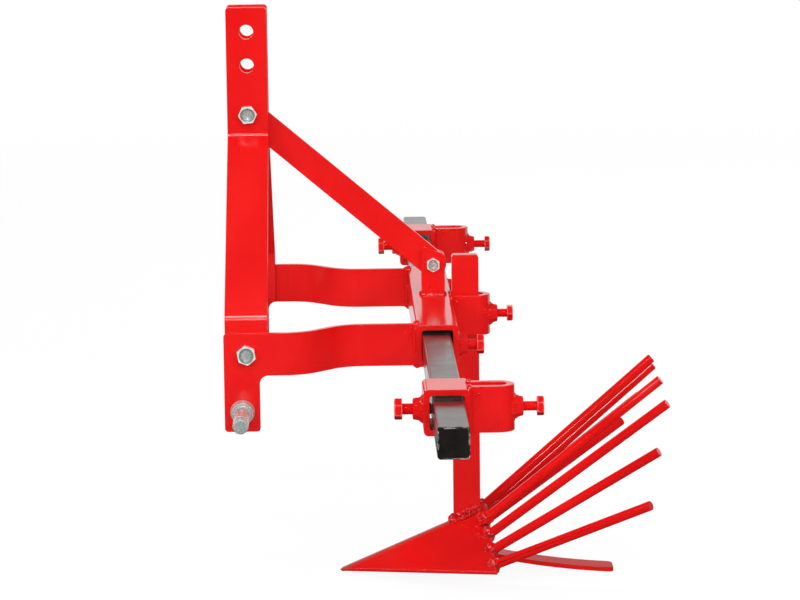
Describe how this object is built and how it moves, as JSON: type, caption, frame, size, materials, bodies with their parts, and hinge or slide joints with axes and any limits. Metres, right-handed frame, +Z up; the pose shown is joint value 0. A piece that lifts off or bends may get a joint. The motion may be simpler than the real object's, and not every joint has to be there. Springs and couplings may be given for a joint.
{
  "type": "potato digger on a three-point toolbar",
  "caption": "Three-point tractor headstock with a sliding square toolbar, tool clamps, and a vee-share potato digger with a fan of lifting rods.",
  "frame": {"origin": "middle of the footprint on the ground under the heel bar", "axes": "+X along the toolbar to the implement's left, -Y forward to the tractor, +Z up"},
  "size_m": [1.9, 0.651, 0.8605],
  "materials": {
    "red_paint": "gloss",
    "black_paint": "gloss",
    "zinc_plate": "satin",
    "black_plastic": "satin"
  },
  "bodies": {
    "headstock": {"left_mast_bar": "red_paint", "right_mast_bar": "red_paint", "brace_bar": "red_paint", "brace_spacers": "red_paint", "top_bolt": "zinc_plate", "top_nut": "zinc_plate", "left_arm": "red_paint", "right_arm": "red_paint", "left_arm_bolt": "zinc_plate", "right_arm_bolt": "zinc_plate", "arm_nuts": "zinc_plate", "left_hitch_pin": "zinc_plate", "right_hitch_pin": "zinc_plate", "hitch_pin_nuts": "zinc_plate", "sleeve": "red_paint", "brace_lugs": "red_paint", "brace_bolt": "zinc_plate", "brace_nut": "zinc_plate", "centre_loop": "red_paint", "centre_loop_nut": "red_paint", "sleeve_nuts": "red_paint"},
    "toolbar": {"toolbar": "black_paint", "left_end_cap": "black_plastic", "right_end_cap": "black_plastic"},
    "digger": {"shank": "red_paint", "share": "red_paint", "heel": "red_paint", "share_web": "red_paint", "left_rod_1": "red_paint", "left_rod_2": "red_paint", "left_rod_3": "red_paint", "left_rod_4": "red_paint", "right_rod_1": "red_paint", "right_rod_2": "red_paint", "right_rod_3": "red_paint", "right_rod_4": "red_paint"},
    "centre_screw": {"centre_loop_screw": "red_paint"},
    "left_clamp": {"left_collar": "red_paint", "left_loop": "red_paint", "left_collar_nut": "red_paint", "left_loop_nut": "red_paint"},
    "left_sleeve_screw": {"left_sleeve_screw": "red_paint"},
    "left_collar_screw": {"left_collar_screw": "red_paint"},
    "left_loop_screw": {"left_loop_screw": "red_paint"},
    "right_clamp": {"right_collar": "red_paint", "right_loop": "red_paint", "right_collar_nut": "red_paint", "right_loop_nut": "red_paint"},
    "right_sleeve_screw": {"right_sleeve_screw": "red_paint"},
    "right_collar_screw": {"right_collar_screw": "red_paint"},
    "right_loop_screw": {"right_loop_screw": "red_paint"}
  },
  "joints": [
    {"name": "toolbar_shift", "type": "slide", "parent": "headstock", "child": "toolbar", "axis": [1, 0, 0], "range_m": [-0.1, 0.1]},
    {"name": "digger_depth", "type": "slide", "parent": "headstock", "child": "digger", "axis": [0, 0, 1], "range_m": [-0.05, 0.2]},
    {"name": "centre_screw_travel", "type": "slide", "parent": "headstock", "child": "centre_screw", "axis": [0, 1, 0], "range_m": [0, 0.015]},
    {"name": "left_clamp_shift", "type": "slide", "parent": "toolbar", "child": "left_clamp", "axis": [1, 0, 0], "range_m": [-0.29, 0.15]},
    {"name": "right_clamp_shift", "type": "slide", "parent": "toolbar", "child": "right_clamp", "axis": [-1, 0, 0], "range_m": [-0.29, 0.15]},
    {"name": "left_sleeve_screw_travel", "type": "slide", "parent": "headstock", "child": "left_sleeve_screw", "axis": [0, 1, 0], "range_m": [0, 0.012]},
    {"name": "left_collar_screw_travel", "type": "slide", "parent": "left_clamp", "child": "left_collar_screw", "axis": [0, -1, 0], "range_m": [0, 0.012]},
    {"name": "left_loop_screw_travel", "type": "slide", "parent": "left_clamp", "child": "left_loop_screw", "axis": [0, 1, 0], "range_m": [-0.017, 0.012]},
    {"name": "right_sleeve_screw_travel", "type": "slide", "parent": "headstock", "child": "right_sleeve_screw", "axis": [0, 1, 0], "range_m": [0, 0.012]},
    {"name": "right_collar_screw_travel", "type": "slide", "parent": "right_clamp", "child": "right_collar_screw", "axis": [0, -1, 0], "range_m": [0, 0.012]},
    {"name": "right_loop_screw_travel", "type": "slide", "parent": "right_clamp", "child": "right_loop_screw", "axis": [0, 1, 0], "range_m": [-0.017, 0.012]}
  ]
}
